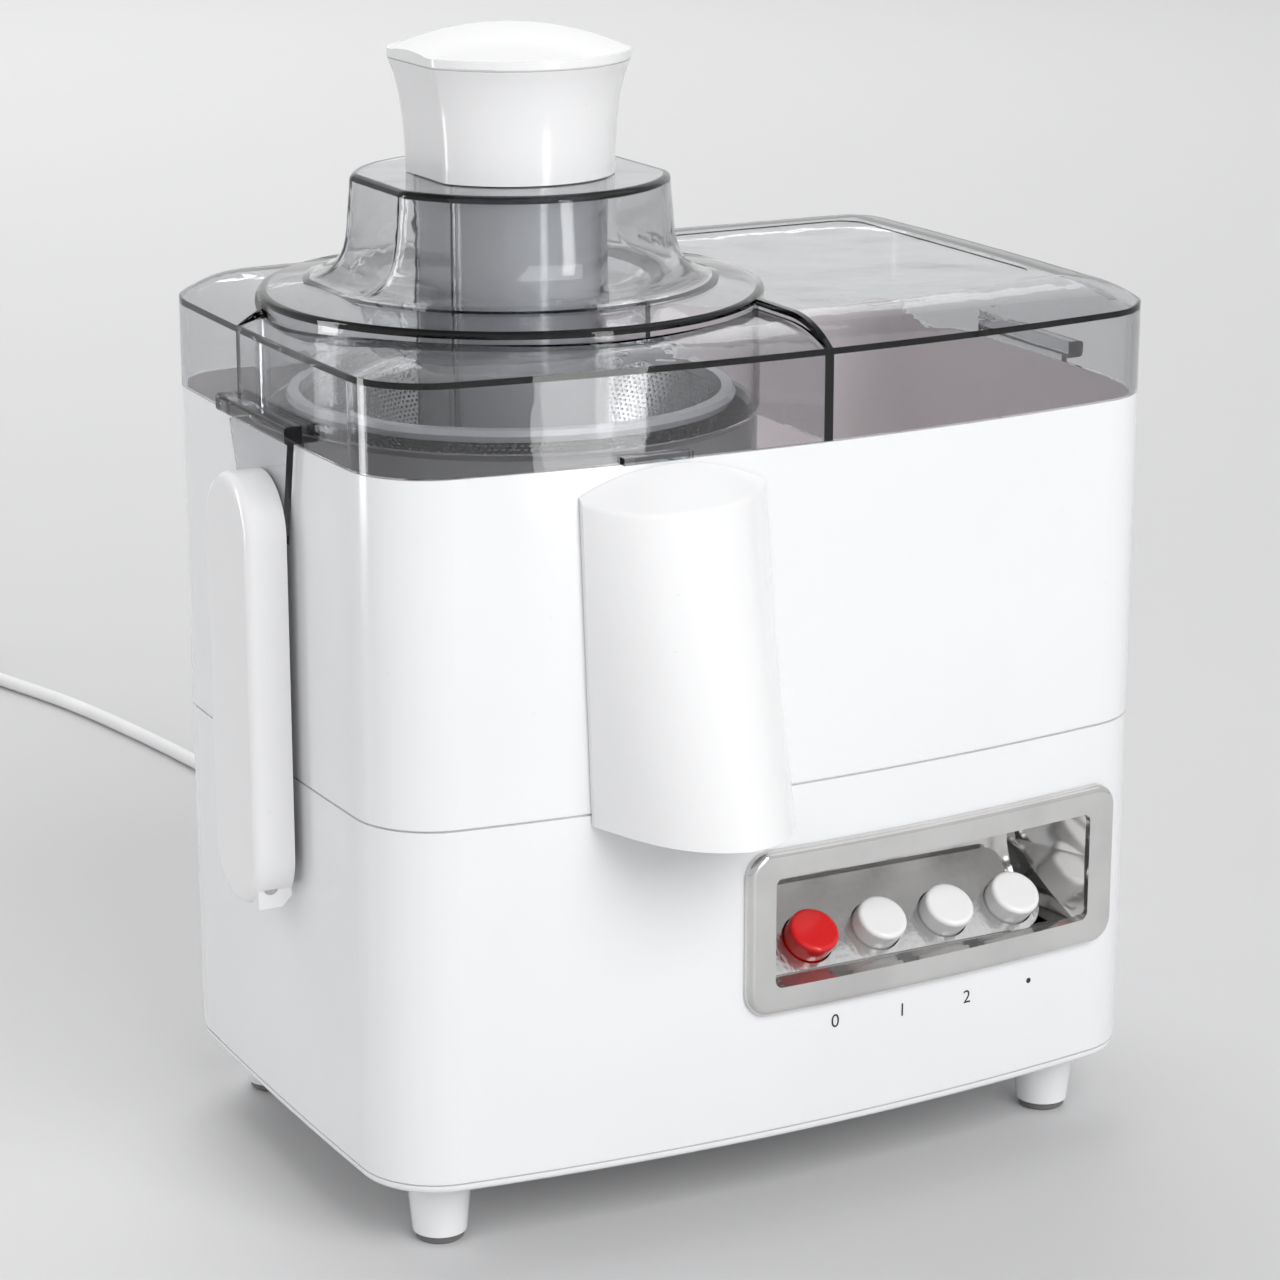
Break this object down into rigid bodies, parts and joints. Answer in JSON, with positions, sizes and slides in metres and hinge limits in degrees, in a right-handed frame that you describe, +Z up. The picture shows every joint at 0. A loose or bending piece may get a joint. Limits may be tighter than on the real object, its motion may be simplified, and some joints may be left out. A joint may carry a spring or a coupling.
{
  "type": "centrifugal juicer",
  "caption": "Countertop centrifugal juicer: glossy white body, smoky clear lid with feed chute and pusher, front spout, side clamps and push-button panel.",
  "frame": {"origin": "on the table, under the middle of the juicer (its cord left out)", "axes": "+Z up, -Y towards the front with the spout and buttons, +X to the user's right"},
  "size_m": [0.334, 0.851, 0.3976],
  "materials": {
    "white_body": "glossy white moulding",
    "white_part": "glossy white moulding",
    "pink_white": "glossy white moulding, warm where light passes through it",
    "smoky_clear": "clear smoky grey plastic",
    "chrome_plate": "polished chrome plating",
    "brushed_plate": "lightly textured plated sheet",
    "red_button": "glossy red",
    "white_button": "glossy white",
    "foot_rubber": "matt dark grey",
    "screw_steel": "zinc plated",
    "shaft_steel": "ground steel",
    "spring_steel": "drawn wire",
    "mesh_steel": "perforated stainless sheet",
    "lamination": "stacked sheet",
    "copper": "enamelled copper",
    "bronze": "sintered bronze",
    "bracket": "pressed sheet",
    "carbon": "pressed carbon",
    "dark_plastic": "moulded",
    "board_green": "circuit board",
    "cord_white": "soft white PVC",
    "tie_black": "twist tie"
  },
  "bodies": {
    "root": {"base_housing": "white_body", "bottom_cover": "white_body", "foot_pads": "foot_rubber", "base_screws": "screw_steel", "control_bezel": "chrome_plate", "button_plate": "brushed_plate", "switch_body": "dark_plastic", "button_springs": "spring_steel", "stator_core": "lamination", "field_coils": "copper", "upper_bracket": "bracket", "lower_bracket": "bracket", "upper_bearing": "bronze", "lower_bearing": "bronze", "brush_holders": "bronze", "carbon_brushes": "carbon", "motor_grommets": "foot_rubber", "motor_screws": "screw_steel", "shaft_seal": "foot_rubber", "pulp_container": "pink_white", "juice_bowl": "pink_white", "juice_spout": "white_part", "clamp_pins": "shaft_steel", "power_cord": "cord_white", "cord_coil": "cord_white", "cord_tie": "tie_black", "mains_plug": "cord_white", "strain_relief": "cord_white", "circuit_breaker": "dark_plastic", "rectifier_board": "board_green", "interlock_switch": "dark_plastic"},
    "rotor": {"motor_shaft": "shaft_steel", "armature_core": "lamination", "armature_windings": "copper", "commutator": "copper", "cooling_fan": "dark_plastic", "drive_coupling": "dark_plastic", "basket_hub": "white_part", "filter_basket": "mesh_steel", "basket_rim": "white_part", "grater_disc": "mesh_steel", "basket_nut": "shaft_steel"},
    "lid": {"lid": "smoky_clear"},
    "pusher": {"pusher_body": "white_part", "pusher_cap": "white_part"},
    "clamp_l": {"clamp_left": "white_part"},
    "clamp_r": {"clamp_right": "white_part"},
    "key_off": {"button_off": "red_button"},
    "key_1": {"button_1": "white_button"},
    "key_2": {"button_2": "white_button"},
    "key_pulse": {"button_pulse": "white_button"}
  },
  "joints": [
    {"name": "spin", "type": "hinge", "parent": "root", "child": "rotor", "pos_m": [-0.056, 0.027, 0.12], "axis": [0, 0, 1], "continuous": true},
    {"name": "lid_lift", "type": "slide", "parent": "root", "child": "lid", "axis": [0, 0, 1], "range_m": [0, 0.1]},
    {"name": "pusher_lift", "type": "slide", "parent": "lid", "child": "pusher", "axis": [0, 0, 1], "range_m": [0, 0.09]},
    {"name": "clamp_left_swing", "type": "hinge", "parent": "root", "child": "clamp_l", "pos_m": [-0.1605, 0.017, 0.116], "axis": [0, -1, 0], "range_deg": [0, 90]},
    {"name": "clamp_right_swing", "type": "hinge", "parent": "root", "child": "clamp_r", "pos_m": [0.1605, 0.017, 0.116], "axis": [0, 1, 0], "range_deg": [0, 90]},
    {"name": "press_off", "type": "slide", "parent": "root", "child": "key_off", "axis": [0, 0.7071, -0.7071], "range_m": [0, 0.004], "stiffness_N_per_m": 300, "springref_m": -0.002},
    {"name": "press_1", "type": "slide", "parent": "root", "child": "key_1", "axis": [0, 0.7071, -0.7071], "range_m": [0, 0.004], "stiffness_N_per_m": 300, "springref_m": -0.002},
    {"name": "press_2", "type": "slide", "parent": "root", "child": "key_2", "axis": [0, 0.7071, -0.7071], "range_m": [0, 0.004], "stiffness_N_per_m": 300, "springref_m": -0.002},
    {"name": "press_pulse", "type": "slide", "parent": "root", "child": "key_pulse", "axis": [0, 0.7071, -0.7071], "range_m": [0, 0.004], "stiffness_N_per_m": 300, "springref_m": -0.002}
  ]
}
